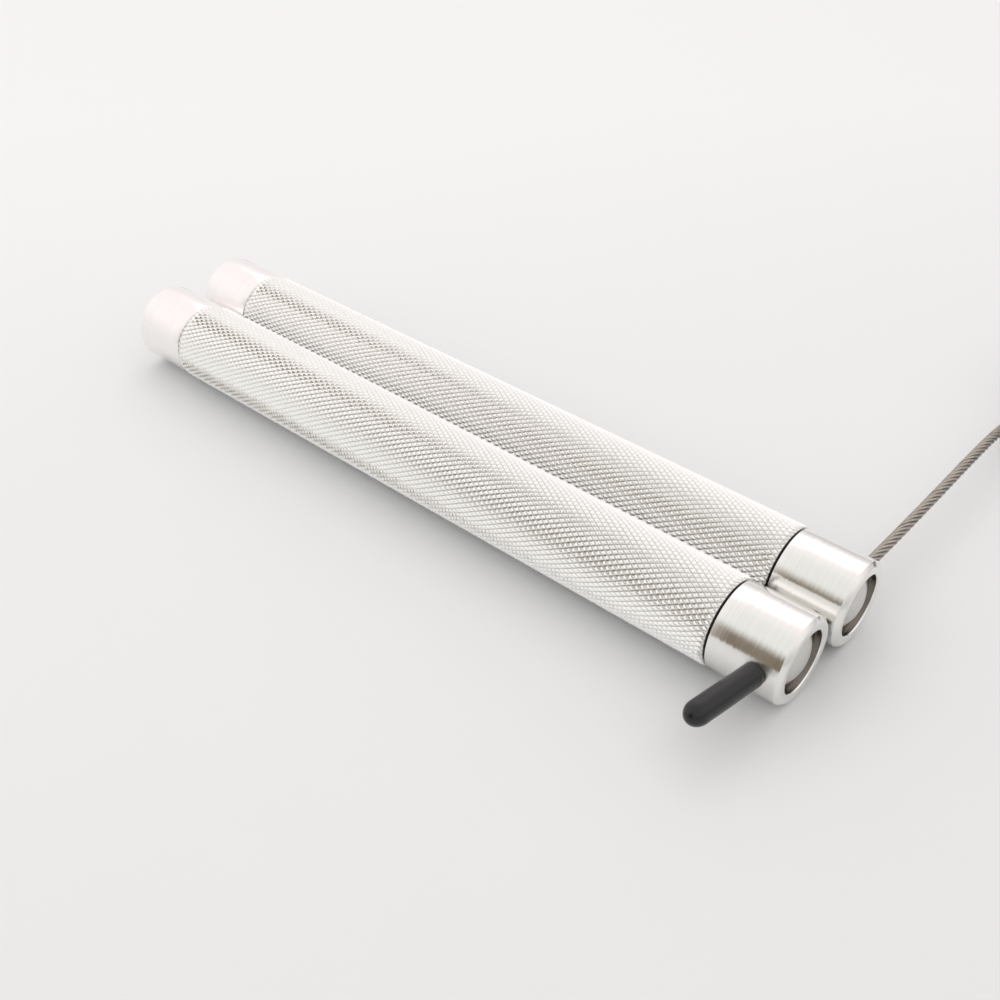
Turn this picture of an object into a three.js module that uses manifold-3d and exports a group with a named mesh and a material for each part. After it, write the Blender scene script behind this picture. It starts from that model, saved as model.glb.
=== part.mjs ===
// Speed rope: two turned aluminium handles that lie side by side, threaded on one steel cable.
//
// Millimetres. +X runs from the rear caps to the heads, +Y from the near handle to the far one, +Z is up.
// The origin is on the surface that the handles lie on, midway between the two handles.
//
// Each handle has a head that holds the cable and a knurled grip that spins round it. The cable passes
// sideways through a cross hole in the head and a slot in the push button. A spring holds the button
// out, so the rear wall of the slot pinches the cable, and pushing the button in lets it slide.
// The grip turns on two ball bearings, which sit on a bolt that is fastened to the back of the head.

import * as THREE from "three";
import * as BufferGeometryUtils from "three/addons/utils/BufferGeometryUtils.js";
import Module from "manifold-3d";

const wasm = await Module();
wasm.setup();

// ---------------------------------------------------------------- driving dimensions

const HANDLE_LENGTH = 160;
const HANDLE_RADIUS = 8;
const AXIS_SPACING = 17.3; // between the two handles' axes
const FAR_HANDLE_LEAD = 0.6; // the far handle lies this much further forward
const TOUCH_GAP = 0.02; // left between two faces that are clamped together

const HEAD_LENGTH = 13.35;
const HEAD_CHAMFER = 0.65;
const CHAMBER_RADIUS = 5.7; // the bore that the button slides in
const CHAMBER_DEPTH = 9.4;
const CROSS_HOLE_RADIUS = 1.45;
const CROSS_HOLE_X = -4.2; // behind the front face of the head
const SEAL_THICKNESS = 0.22;
const GRIP_FRONT_X = -13.65; // where the knurled tube starts
const REAR_CAP_LENGTH = 13.4;
const SPIGOT_LENGTH = 8; // of the rear cap, inside the tube
const RING_GROOVE_X = 4.5; // of the rubber ring, ahead of the rear cap's face
const RING_GROOVE_RADIUS = 4.6;

const BUTTON_RADIUS = 5.4;
const BUTTON_SHOULDER_X = -1.9;
const BUTTON_CROWN = 2.0; // the height of the dome
const BUTTON_REAR_X = -7.2;
const BUTTON_STROKE = 0.8;
const BUTTON_SLOT_RADIUS = 1.3;
const SPRING_POCKET_RADIUS = 4.8;
const SPRING_POCKET_X = -6.2;

const BOLT_RADIUS = 2.5;
const BOLT_HEAD_RADIUS = 3.2;
const BOLT_HEAD_LENGTH = 1.25;
const BOLT_END_X = -53;
const BEARING_BORE_RADIUS = 2.55;
const BEARING_OUTER_RADIUS = 5.46;
const BEARING_WIDTH = 5;
const BALL_PITCH_RADIUS = 4.0;
const BALL_RADIUS = 0.75;
const BALL_CLEARANCE = 0.14; // between a ball and its grooves
const BALLS_PER_BEARING = 7;
const FRONT_BEARING_X = -14.6; // the front face of the front bearing
const REAR_BEARING_X = -42;
const GRIP_BORE_RADIUS = 5.5;
const GRIP_WEB_RADIUS = 4.9; // the narrower bore between the two bearings

const CABLE_DIAMETER = 2.0;
const CABLE_RADIUS = CABLE_DIAMETER / 2;
const CORD_GAP = 0.3; // between a cable's solid and what it meets
const VINYL_CAP_RADIUS = 2.15;
const VINYL_CAP_LENGTH = 15;

const COIL_COLUMNS = 6; // turns side by side
const COIL_LAYERS = 5; // and one above another
const COIL_MEAN_RADIUS = 16;
const COIL_WIDTH = COIL_COLUMNS * CABLE_DIAMETER; // of the bundle of turns
const COIL_HEIGHT = COIL_LAYERS * CABLE_DIAMETER;
const COIL_CENTRE = new THREE.Vector2(98.3, 106);
const COIL_BASE_Z = 1.0; // the coil lies on its two ties
const TIE_WIDTH = 4;
const TIE_SIDE_GAP = 0.5; // a flat strap beside the round bundle of turns
const TIE_THICKNESS = 0.7;

const SHELL_SIDES = 32; // facets round a large turned piece
const SMALL_SIDES = 20; // and round a small one

// ---------------------------------------------------------------- where the handles lie

const NEAR = {
  prefix: "near",
  frontX: HANDLE_LENGTH / 2 - FAR_HANDLE_LEAD / 2,
  axisY: -AXIS_SPACING / 2,
};
const FAR = {
  prefix: "far",
  frontX: HANDLE_LENGTH / 2 + FAR_HANDLE_LEAD / 2,
  axisY: AXIS_SPACING / 2,
};
const AXIS_Z = HANDLE_RADIUS;

// The cable runs straight through both cross holes, so it leans by the far handle's lead.
const CABLE_LEAN = Math.atan2(FAR_HANDLE_LEAD, AXIS_SPACING);

// ---------------------------------------------------------------- finishes

const finishes = {
  turned: { color: 0xd4d3cf, roughness: 0.3, metalness: 0.9 },
  knurled: { color: 0xcfcecb, roughness: 0.35, metalness: 0.9 },
  steel: { color: 0x9b9c9e, roughness: 0.3, metalness: 0.9 },
  springSteel: { color: 0x7d7e80, roughness: 0.35, metalness: 0.9 },
  rubber: { color: 0x1a1a1b, roughness: 0.7, metalness: 0.0 },
  vinyl: { color: 0x2c2c2d, roughness: 0.35, metalness: 0.0 },
  cable: { color: 0x8f8a83, roughness: 0.45, metalness: 0.7 },
  strap: { color: 0x202022, roughness: 0.9, metalness: 0.0 },
};

function mesh(name, geometry, finish) {
  const piece = new THREE.Mesh(geometry, new THREE.MeshStandardMaterial(finishes[finish]));
  piece.name = name;
  return piece;
}

// ---------------------------------------------------------------- solids

// Six times the volume that the triangles enclose, negative where they face inwards.
function signedVolume(position, index) {
  const a = new THREE.Vector3();
  const b = new THREE.Vector3();
  const c = new THREE.Vector3();
  let sum = 0;
  for (let i = 0; i < index.length; i += 3) {
    a.fromBufferAttribute(position, index[i]);
    b.fromBufferAttribute(position, index[i + 1]);
    c.fromBufferAttribute(position, index[i + 2]);
    sum += a.dot(b.cross(c));
  }
  return sum;
}

// One closed skin from any three.js geometry: shared corners, no slivers, faces out.
function closedSkin(geometry) {
  const bare = geometry.clone();
  bare.deleteAttribute("normal");
  bare.deleteAttribute("uv");
  const merged = BufferGeometryUtils.mergeVertices(bare, 1e-4);
  const position = merged.getAttribute("position");
  const index = [];
  for (let i = 0; i < merged.index.count; i += 3) {
    const corners = [merged.index.getX(i), merged.index.getX(i + 1), merged.index.getX(i + 2)];
    if (new Set(corners).size === 3) index.push(...corners);
  }
  if (signedVolume(position, index) < 0) index.reverse();
  merged.setIndex(index);
  return merged;
}

function shaded(geometry) {
  const faceted = geometry.toNonIndexed();
  faceted.computeVertexNormals();
  return faceted;
}

function toManifold(geometry) {
  const skin = closedSkin(geometry);
  const vertProperties = new Float32Array(skin.getAttribute("position").array);
  const triVerts = new Uint32Array(skin.index.array);
  return new wasm.Manifold(new wasm.Mesh({ numProp: 3, vertProperties, triVerts }));
}

function fromManifold(solid) {
  const result = solid.getMesh();
  const geometry = new THREE.BufferGeometry();
  geometry.setAttribute("position", new THREE.BufferAttribute(new Float32Array(result.vertProperties), 3));
  geometry.setIndex(new THREE.BufferAttribute(new Uint32Array(result.triVerts), 1));
  return shaded(geometry);
}

// A body of revolution about the X axis. The profile is a list of [x, radius] corners.
// A profile that touches the axis at both ends is a solid; any other closes on itself as a ring.
function turned(profile, segments) {
  const points = profile.map(([x, radius]) => new THREE.Vector2(radius, x));
  const onAxis = profile[0][1] === 0 && profile[profile.length - 1][1] === 0;
  if (!onAxis) points.push(points[0].clone());
  const geometry = new THREE.LatheGeometry(points, segments);
  geometry.rotateZ(-Math.PI / 2);
  return closedSkin(geometry);
}

// Corners along an arc from one angle to another, in degrees, about a centre given as [x, radius].
function arc([x, radius], size, from, to, steps) {
  const corners = [];
  for (let i = 0; i <= steps; i++) {
    const angle = THREE.MathUtils.degToRad(from + ((to - from) * i) / steps);
    corners.push([x + size * Math.cos(angle), radius + size * Math.sin(angle)]);
  }
  return corners;
}

// A round bar along a curve, with flat closed ends.
function bar(curve, radius, sides, steps) {
  const section = new THREE.Shape();
  for (let i = 0; i < sides; i++) {
    const angle = (2 * Math.PI * i) / sides;
    const x = radius * Math.cos(angle);
    const y = radius * Math.sin(angle);
    if (i === 0) section.moveTo(x, y);
    else section.lineTo(x, y);
  }
  section.closePath();
  return closedSkin(new THREE.ExtrudeGeometry(section, { steps, extrudePath: curve }));
}

// A cylinder that lies along the cable's own line and crosses the handle's axis at x.
function crossDrill(x, radius) {
  const drill = new THREE.CylinderGeometry(radius, radius, 4 * HANDLE_RADIUS, SMALL_SIDES);
  drill.rotateZ(-CABLE_LEAN);
  drill.translate(x, 0, 0);
  return drill;
}

// ---------------------------------------------------------------- head

// Front face, chamfered rim, chamber for the button, and a boss that the front bearing is clamped on.
function headShell() {
  const lip = 0.2;
  const profile = [
    [-lip, CHAMBER_RADIUS],
    [0, CHAMBER_RADIUS + lip],
    [0, HANDLE_RADIUS - HEAD_CHAMFER],
    [-HEAD_CHAMFER, HANDLE_RADIUS],
    [-HEAD_LENGTH + 0.1, HANDLE_RADIUS],
    [-HEAD_LENGTH, HANDLE_RADIUS - 0.1],
    [-HEAD_LENGTH, 3.5],
    [FRONT_BEARING_X + TOUCH_GAP, 3.5],
    [FRONT_BEARING_X + TOUCH_GAP, BOLT_RADIUS + 0.1],
    [-CHAMBER_DEPTH, BOLT_RADIUS + 0.1],
    [-CHAMBER_DEPTH, CHAMBER_RADIUS],
  ];
  const shell = toManifold(turned(profile, SHELL_SIDES));
  return fromManifold(shell.subtract(toManifold(crossDrill(CROSS_HOLE_X, CROSS_HOLE_RADIUS))));
}

// The black ring in the gap between the head and the spinning grip.
function headSeal() {
  const front = (-HEAD_LENGTH + GRIP_FRONT_X + SEAL_THICKNESS) / 2;
  const rear = front - SEAL_THICKNESS;
  return turned([[front, 6.1], [front, 7.8], [rear, 7.8], [rear, 6.1]], SHELL_SIDES);
}

// A domed plunger with a slot for the cable. The slot is longer than it is high, by the stroke.
function lockButton() {
  const sphere = (BUTTON_RADIUS ** 2 + BUTTON_CROWN ** 2) / (2 * BUTTON_CROWN);
  const centreX = BUTTON_SHOULDER_X + BUTTON_CROWN - sphere;
  const edge = THREE.MathUtils.radToDeg(Math.asin(BUTTON_RADIUS / sphere));
  const dome = arc([centreX, 0], sphere, 0, edge, 6);
  dome[0][1] = 0;
  const profile = [
    ...dome,
    [BUTTON_REAR_X, BUTTON_RADIUS],
    [BUTTON_REAR_X, SPRING_POCKET_RADIUS],
    [SPRING_POCKET_X, SPRING_POCKET_RADIUS],
    [SPRING_POCKET_X, 0],
  ];
  const plunger = toManifold(turned(profile, SHELL_SIDES));
  const ends = [CROSS_HOLE_X, CROSS_HOLE_X + BUTTON_STROKE];
  const slot = wasm.Manifold.hull(ends.map((x) => toManifold(crossDrill(x, BUTTON_SLOT_RADIUS))));
  return fromManifold(plunger.subtract(slot));
}

// A short compression spring between the chamber floor and the button.
function buttonSpring() {
  const wire = 0.35;
  const coilRadius = 4.2;
  const turns = 2.6;
  const startX = -CHAMBER_DEPTH + wire + 0.08;
  const endX = SPRING_POCKET_X - wire - 0.08;
  const points = [];
  const count = 40;
  for (let i = 0; i <= count; i++) {
    const angle = (2 * Math.PI * turns * i) / count;
    const x = startX + ((endX - startX) * i) / count;
    points.push(new THREE.Vector3(x, coilRadius * Math.cos(angle), coilRadius * Math.sin(angle)));
  }
  return bar(new THREE.CatmullRomCurve3(points), wire, 6, 36);
}

// ---------------------------------------------------------------- bolt and bearings

// The bolt's head sits in the chamber and has a hexagon socket.
function spindleBolt() {
  const seatX = -CHAMBER_DEPTH + TOUCH_GAP;
  const topX = seatX + BOLT_HEAD_LENGTH;
  const profile = [
    [topX, 0],
    [topX, BOLT_HEAD_RADIUS - 0.2],
    [topX - 0.2, BOLT_HEAD_RADIUS],
    [seatX, BOLT_HEAD_RADIUS],
    [seatX, BOLT_RADIUS],
    [BOLT_END_X + 0.4, BOLT_RADIUS],
    [BOLT_END_X, BOLT_RADIUS - 0.4],
    [BOLT_END_X, 0],
  ];
  const socket = new THREE.CylinderGeometry(1.5, 1.5, 1.6, 6);
  socket.rotateZ(Math.PI / 2);
  socket.translate(topX, 0, 0);
  return fromManifold(toManifold(turned(profile, SMALL_SIDES)).subtract(toManifold(socket)));
}

function innerRace(frontX) {
  const middle = frontX - BEARING_WIDTH / 2;
  const groove = arc([middle, BALL_PITCH_RADIUS], BALL_RADIUS + BALL_CLEARANCE, -30, -150, 3);
  const rim = groove[0][1];
  return turned(
    [
      [frontX, BEARING_BORE_RADIUS],
      [frontX, rim],
      ...groove,
      [frontX - BEARING_WIDTH, rim],
      [frontX - BEARING_WIDTH, BEARING_BORE_RADIUS],
    ],
    SMALL_SIDES,
  );
}

function outerRace(frontX) {
  const middle = frontX - BEARING_WIDTH / 2;
  const groove = arc([middle, BALL_PITCH_RADIUS], BALL_RADIUS + BALL_CLEARANCE, 150, 30, 3);
  const rim = groove[0][1];
  return turned(
    [
      [frontX - BEARING_WIDTH, BEARING_OUTER_RADIUS],
      [frontX - BEARING_WIDTH, rim],
      ...groove,
      [frontX, rim],
      [frontX, BEARING_OUTER_RADIUS],
    ],
    SMALL_SIDES,
  );
}

// The balls and the ribbon cage that spaces them are one body.
function ballsAndCage(frontX) {
  const middle = frontX - BEARING_WIDTH / 2;
  const half = 0.2;
  const cageProfile = [
    [middle + 0.6, BALL_PITCH_RADIUS - half],
    [middle + 0.6, BALL_PITCH_RADIUS + half],
    [middle - 0.6, BALL_PITCH_RADIUS + half],
    [middle - 0.6, BALL_PITCH_RADIUS - half],
  ];
  let ring = toManifold(turned(cageProfile, 2 * BALLS_PER_BEARING));
  for (let i = 0; i < BALLS_PER_BEARING; i++) {
    const angle = (2 * Math.PI * i) / BALLS_PER_BEARING;
    const ball = new THREE.SphereGeometry(BALL_RADIUS, 6, 3);
    ball.translate(middle, BALL_PITCH_RADIUS * Math.cos(angle), BALL_PITCH_RADIUS * Math.sin(angle));
    ring = ring.add(toManifold(ball));
  }
  return fromManifold(ring);
}

// Keeps the two inner races apart, so the nut clamps them against the head.
function bearingSpacer() {
  const front = FRONT_BEARING_X - BEARING_WIDTH - TOUCH_GAP;
  const rear = REAR_BEARING_X + TOUCH_GAP;
  const inner = BEARING_BORE_RADIUS;
  return turned([[front, inner], [front, 3.3], [rear, 3.3], [rear, inner]], SMALL_SIDES);
}

function boltWasher() {
  const front = REAR_BEARING_X - BEARING_WIDTH - TOUCH_GAP;
  const rear = front - 0.8;
  const inner = BEARING_BORE_RADIUS;
  return turned([[front, inner], [front, 3.4], [rear, 3.4], [rear, inner]], SMALL_SIDES);
}

// A hexagon nut with a smooth bore.
function lockNut() {
  const front = REAR_BEARING_X - BEARING_WIDTH - 0.8 - 3 * TOUCH_GAP;
  const thickness = 4;
  const hexagon = new THREE.CylinderGeometry(4.5, 4.5, thickness, 6);
  hexagon.rotateZ(Math.PI / 2);
  hexagon.translate(front - thickness / 2, 0, 0);
  const bore = new THREE.CylinderGeometry(BEARING_BORE_RADIUS, BEARING_BORE_RADIUS, 2 * thickness, SMALL_SIDES);
  bore.rotateZ(Math.PI / 2);
  bore.translate(front - thickness / 2, 0, 0);
  return fromManifold(toManifold(hexagon).subtract(toManifold(bore)));
}

// ---------------------------------------------------------------- grip

// A tube with a seat for each bearing and a web between them. The knurl is a surface texture
// whose mean height is this cylinder.
function gripTube() {
  const rearX = -HANDLE_LENGTH + REAR_CAP_LENGTH;
  const edge = 0.2;
  const profile = [
    [GRIP_FRONT_X, GRIP_BORE_RADIUS],
    [GRIP_FRONT_X, HANDLE_RADIUS - edge],
    [GRIP_FRONT_X - edge, HANDLE_RADIUS],
    [rearX + edge, HANDLE_RADIUS],
    [rearX, HANDLE_RADIUS - edge],
    [rearX, GRIP_BORE_RADIUS],
    [REAR_BEARING_X + TOUCH_GAP, GRIP_BORE_RADIUS],
    [REAR_BEARING_X + TOUCH_GAP, GRIP_WEB_RADIUS],
    [FRONT_BEARING_X - BEARING_WIDTH - TOUCH_GAP, GRIP_WEB_RADIUS],
    [FRONT_BEARING_X - BEARING_WIDTH - TOUCH_GAP, GRIP_BORE_RADIUS],
  ];
  return turned(profile, SHELL_SIDES);
}

// A smooth plug with a rounded end. Its spigot has a groove for the rubber ring that holds it.
function rearCap() {
  const frontX = -HANDLE_LENGTH + REAR_CAP_LENGTH - TOUCH_GAP;
  const spigotX = frontX + SPIGOT_LENGTH;
  const spigotRadius = GRIP_BORE_RADIUS - 0.06;
  const grooveX = frontX + RING_GROOVE_X;
  const rounding = 1.1;
  const corner = arc([-HANDLE_LENGTH + rounding, HANDLE_RADIUS - rounding], rounding, 90, 180, 4);
  const profile = [
    [spigotX, 0],
    [spigotX, spigotRadius - 0.4],
    [spigotX - 0.4, spigotRadius],
    [grooveX + 0.5, spigotRadius],
    [grooveX + 0.5, RING_GROOVE_RADIUS],
    [grooveX - 0.5, RING_GROOVE_RADIUS],
    [grooveX - 0.5, spigotRadius],
    [frontX, spigotRadius],
    [frontX, HANDLE_RADIUS],
    ...corner,
    [-HANDLE_LENGTH, 0],
  ];
  return turned(profile, SHELL_SIDES);
}

function rearCapRing() {
  const grooveX = -HANDLE_LENGTH + REAR_CAP_LENGTH - TOUCH_GAP + RING_GROOVE_X;
  const ring = arc([grooveX, 5.06], 0.36, 0, 360, 6);
  ring.pop();
  return turned(ring, SMALL_SIDES);
}

// ---------------------------------------------------------------- one handle

function handle(side) {
  const assembly = new THREE.Group();
  assembly.position.set(side.frontX, side.axisY, AXIS_Z);
  const bearings = [
    ["front", FRONT_BEARING_X],
    ["rear", REAR_BEARING_X],
  ];
  const pieces = [
    ["head_shell", headShell(), "turned"],
    ["head_seal", headSeal(), "rubber"],
    ["lock_button", lockButton(), "turned"],
    ["button_spring", buttonSpring(), "springSteel"],
    ["spindle_bolt", spindleBolt(), "steel"],
    ["bearing_spacer", bearingSpacer(), "steel"],
    ["bolt_washer", boltWasher(), "steel"],
    ["lock_nut", lockNut(), "steel"],
    ["grip_tube", gripTube(), "knurled"],
    ["rear_cap", rearCap(), "turned"],
    ["rear_cap_ring", rearCapRing(), "rubber"],
  ];
  for (const [place, x] of bearings) {
    pieces.push([`${place}_bearing_inner_race`, innerRace(x), "steel"]);
    pieces.push([`${place}_bearing_balls`, ballsAndCage(x), "steel"]);
    pieces.push([`${place}_bearing_outer_race`, outerRace(x), "steel"]);
  }
  for (const [name, geometry, finish] of pieces) {
    const skin = geometry.getAttribute("normal") ? geometry : shaded(geometry);
    assembly.add(mesh(`${side.prefix}_${name}`, skin, finish));
  }
  return assembly;
}

// ---------------------------------------------------------------- cable

// The point on the cable's straight line through both heads that is y from the middle.
function onCableLine(y) {
  const x = HANDLE_LENGTH / 2 + CROSS_HOLE_X + y * Math.tan(CABLE_LEAN);
  return new THREE.Vector3(x, y, AXIS_Z);
}

// The near end of the cable turns slightly back and up inside its vinyl cap.
const capYaw = THREE.MathUtils.degToRad(8.9);
const capPitch = THREE.MathUtils.degToRad(8.6);
const capAxis = new THREE.Vector3(
  -Math.sin(capYaw) * Math.cos(capPitch),
  -Math.cos(capYaw) * Math.cos(capPitch),
  Math.sin(capPitch),
);
const capMouth = onCableLine(NEAR.axisY - HANDLE_RADIUS - CORD_GAP).add(new THREE.Vector3(-0.1, 0, 0.15));

function alongCap(distance) {
  return capMouth.clone().addScaledVector(capAxis, distance);
}

const splitY = FAR.axisY + 6.5; // inside the far head, where the free cable's solid begins

const threadedRoute = [
  alongCap(10.5),
  alongCap(7.5),
  alongCap(4.5),
  onCableLine(NEAR.axisY - HANDLE_RADIUS + 1.5),
  onCableLine(NEAR.axisY - 3),
  onCableLine(0),
  onCableLine(FAR.axisY),
  onCableLine(splitY - CORD_GAP),
];

// Level out of the far head, then down to the height of the coil's lowest turn.
const freeRoute = [
  onCableLine(splitY),
  onCableLine(FAR.axisY + HANDLE_RADIUS + 2),
  new THREE.Vector3(76.8, 31, AXIS_Z),
  new THREE.Vector3(77.05, 44, 8.0),
  new THREE.Vector3(77.2, 57, 7.9),
  new THREE.Vector3(77.3, 67, 7.5),
  new THREE.Vector3(77.3, 75, 6.3),
  new THREE.Vector3(77.3, 82, 4.6),
  new THREE.Vector3(77.3, 89, 2.9),
  new THREE.Vector3(77.3, 95.7, 2.1),
];

function cableAlong(route, steps) {
  return bar(new THREE.CatmullRomCurve3(route, false, "centripetal"), CABLE_RADIUS, 8, steps);
}

// One ring that has the outer shape of the wound turns.
function cableCoil() {
  const bevel = 0.6;
  const inner = COIL_MEAN_RADIUS - COIL_WIDTH / 2;
  const outer = COIL_MEAN_RADIUS + COIL_WIDTH / 2;
  const top = COIL_BASE_Z + COIL_HEIGHT;
  const corners = [
    [inner + bevel, COIL_BASE_Z],
    [outer - bevel, COIL_BASE_Z],
    [outer, COIL_BASE_Z + bevel],
    [outer, top - bevel],
    [outer - bevel, top],
    [inner + bevel, top],
    [inner, top - bevel],
    [inner, COIL_BASE_Z + bevel],
  ];
  const points = corners.map(([radius, z]) => new THREE.Vector2(radius, z));
  points.push(points[0].clone());
  const ring = new THREE.LatheGeometry(points, SHELL_SIDES);
  ring.rotateX(Math.PI / 2);
  ring.translate(COIL_CENTRE.x, COIL_CENTRE.y, 0);
  return closedSkin(ring);
}

// A soft vinyl end cap: a round-ended sleeve that is closed at one end. It lies along +X from its mouth.
function vinylCap() {
  const tip = VINYL_CAP_LENGTH - VINYL_CAP_RADIUS;
  const nose = arc([tip, 0], VINYL_CAP_RADIUS, 90, 0, 5);
  nose[nose.length - 1][1] = 0;
  const profile = [
    [11.4, 0],
    [11.4, CABLE_RADIUS + 0.2],
    [6, CABLE_RADIUS + 0.2],
    [0, CABLE_RADIUS + 0.65],
    [0, VINYL_CAP_RADIUS],
    ...nose,
  ];
  return turned(profile, 20);
}

function placedCap(name, mouth, axis) {
  const cap = mesh(name, shaded(vinylCap()), "vinyl");
  cap.position.copy(mouth);
  cap.quaternion.setFromUnitVectors(new THREE.Vector3(1, 0, 0), axis);
  return cap;
}

// The cable's far end lies on top of the coil, in a cap like the one on the near head.
function coilEndCap() {
  const z = COIL_BASE_Z + COIL_HEIGHT + CORD_GAP + VINYL_CAP_RADIUS;
  const mouth = new THREE.Vector3(COIL_CENTRE.x - VINYL_CAP_LENGTH / 2, COIL_CENTRE.y + COIL_MEAN_RADIUS - 0.5, z);
  return placedCap("coil_end_cap", mouth, new THREE.Vector3(1, 0, 0));
}

function rectangle(outline, halfWidth, halfHeight) {
  outline.moveTo(-halfWidth, -halfHeight);
  outline.lineTo(halfWidth, -halfHeight);
  outline.lineTo(halfWidth, halfHeight);
  outline.lineTo(-halfWidth, halfHeight);
  outline.closePath();
  return outline;
}

// A strap round the bundle of turns, at an angle round the coil.
function coilTie(name, degrees) {
  const halfWidth = COIL_WIDTH / 2 + TIE_SIDE_GAP;
  const halfHeight = COIL_HEIGHT / 2 + CORD_GAP;
  const strap = rectangle(new THREE.Shape(), halfWidth + TIE_THICKNESS, halfHeight + TIE_THICKNESS);
  strap.holes.push(rectangle(new THREE.Path(), halfWidth, halfHeight));
  const geometry = new THREE.ExtrudeGeometry(strap, { depth: TIE_WIDTH, bevelEnabled: false });
  geometry.translate(0, 0, -TIE_WIDTH / 2);
  geometry.rotateX(Math.PI / 2);
  geometry.translate(COIL_MEAN_RADIUS, 0, 0);
  geometry.rotateZ(THREE.MathUtils.degToRad(degrees));
  geometry.translate(COIL_CENTRE.x, COIL_CENTRE.y, halfHeight + TIE_THICKNESS);
  return mesh(name, shaded(closedSkin(geometry)), "strap");
}

// ---------------------------------------------------------------- the whole part

const group = new THREE.Group();
group.add(handle(NEAR));
group.add(handle(FAR));
group.add(mesh("cable_through_heads", shaded(cableAlong(threadedRoute, 16)), "cable"));
group.add(mesh("cable_run", shaded(cableAlong(freeRoute, 24)), "cable"));
group.add(mesh("cable_coil", shaded(cableCoil()), "cable"));
group.add(placedCap("near_tail_cap", capMouth, capAxis));
group.add(coilEndCap());
group.add(coilTie("coil_tie_left", 150));
group.add(coilTie("coil_tie_right", 15));

export default group;
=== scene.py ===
# %% [markdown]
# # A speed rope, built piece by piece
#
# A speed rope has two metal handles and one thin steel cable. The cable passes sideways through a turned
# head at the front of each handle, and a spring-loaded button in the head pinches it. The knurled grip
# behind the head spins on ball bearings. This notebook puts the fine surfaces on a finished mechanical
# frame: it never moves the frame's own parts, it only re-skins them or stands finer pieces in their places.
#
# Everything is in metres. +X runs from the rear caps to the heads, +Y from the near handle to the far
# handle, and +Z is up. Small sizes are easier to read in millimetres, so they are written as `4.2 * MM`.

import math
import random

import bmesh
import bpy
import numpy as np
from mathutils import Matrix, Vector


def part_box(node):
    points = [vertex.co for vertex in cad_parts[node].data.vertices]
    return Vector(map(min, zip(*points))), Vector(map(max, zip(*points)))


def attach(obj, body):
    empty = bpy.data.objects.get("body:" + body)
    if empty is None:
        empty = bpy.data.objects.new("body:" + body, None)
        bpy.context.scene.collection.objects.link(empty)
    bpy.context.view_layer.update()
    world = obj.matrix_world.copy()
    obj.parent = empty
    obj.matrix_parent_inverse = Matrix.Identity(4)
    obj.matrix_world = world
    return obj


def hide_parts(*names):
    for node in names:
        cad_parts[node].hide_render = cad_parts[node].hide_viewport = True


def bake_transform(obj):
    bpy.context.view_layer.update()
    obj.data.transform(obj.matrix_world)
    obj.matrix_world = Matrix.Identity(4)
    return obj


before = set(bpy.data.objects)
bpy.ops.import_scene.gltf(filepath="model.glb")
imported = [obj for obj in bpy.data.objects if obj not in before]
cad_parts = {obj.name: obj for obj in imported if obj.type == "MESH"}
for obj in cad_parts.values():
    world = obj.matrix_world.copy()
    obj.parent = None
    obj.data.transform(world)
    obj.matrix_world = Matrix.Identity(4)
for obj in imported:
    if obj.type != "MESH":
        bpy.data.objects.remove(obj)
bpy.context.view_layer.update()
scene = bpy.context.scene
MM = 0.001

# %% [markdown]
# ## Where the two handles lie
#
# Each handle is a body of revolution about a line along X. Its front face and its axis come from the box of
# the head in the frame. The pieces of a handle are then drawn in the handle's own coordinates, with x = 0
# on the front face, so that one profile serves both handles.

# %% Handle places
def handle_place(side):
    low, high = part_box(f"{side}_head_shell")
    middle = (low + high) / 2
    return Vector((high.x, middle.y, middle.z))

PLACES = {side: handle_place(side) for side in ("near", "far")}
HANDLE_RADIUS = (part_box("near_head_shell")[1].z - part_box("near_head_shell")[0].z) / 2
HANDLE_LENGTH = PLACES["near"].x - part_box("near_rear_cap")[0].x
SPACING = PLACES["far"] - PLACES["near"]
CABLE_LEAN = math.atan2(SPACING.x, SPACING.y)
print("handle radius and length, mm:", round(HANDLE_RADIUS / MM, 2), round(HANDLE_LENGTH / MM, 2))

# %% [markdown]
# ## The camera
#
# A camera is a place, a direction and a lens. The lens is a little under normal, 44 mm on a 36 mm sensor,
# and it looks down over the near handle's front end. Depth of field stays off, so the whole part is sharp.

# %% Camera
def look(azimuth, elevation):
    """A rotation that looks along an azimuth (0 is along +Y, turning left) and down by an elevation."""
    turn = math.radians(azimuth)
    drop = math.radians(elevation)
    forward = Vector((-math.sin(turn) * math.cos(drop), math.cos(turn) * math.cos(drop), -math.sin(drop)))
    return forward.to_track_quat("-Z", "Y")

camera = bpy.data.objects.new("camera", bpy.data.cameras.new("camera"))
camera.data.lens = 44.0
camera.data.sensor_width = 36.0
camera.data.clip_start = 0.01
camera.data.clip_end = 20.0
camera.location = PLACES["near"] + Vector((49.7, -131.99, 141.67)) * MM
camera.rotation_mode = "QUATERNION"
camera.rotation_quaternion = look(40.49, 39.29)
scene.collection.objects.link(camera)
scene.camera = camera
print("camera, mm:", [round(v / MM, 1) for v in camera.location])

# %% [markdown]
# ## Making a mesh, and smoothing it
#
# Every piece below starts as a list of corners and a list of faces. Smooth shading is right on a curved
# wall and wrong across an edge, so each mesh is shaded smooth and then its sharp edges are marked by angle.
# A bevel's own small steps stay below that angle, and so an edge catches a thin, soft line of light.

# %% Mesh helpers
def make_piece(name, corners, faces, material, place=(0, 0, 0), crease=32):
    mesh = bpy.data.meshes.new(name)
    mesh.from_pydata([tuple(c) for c in corners], [], [tuple(f) for f in faces])
    mesh.update()
    piece = bpy.data.objects.new(name, mesh)
    piece.location = place
    scene.collection.objects.link(piece)
    mesh.materials.append(material)
    smooth(mesh, crease)
    return piece

def smooth(mesh, crease):
    mesh.polygons.foreach_set("use_smooth", [True] * len(mesh.polygons))
    mesh.set_sharp_from_angle(angle=math.radians(crease))

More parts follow.
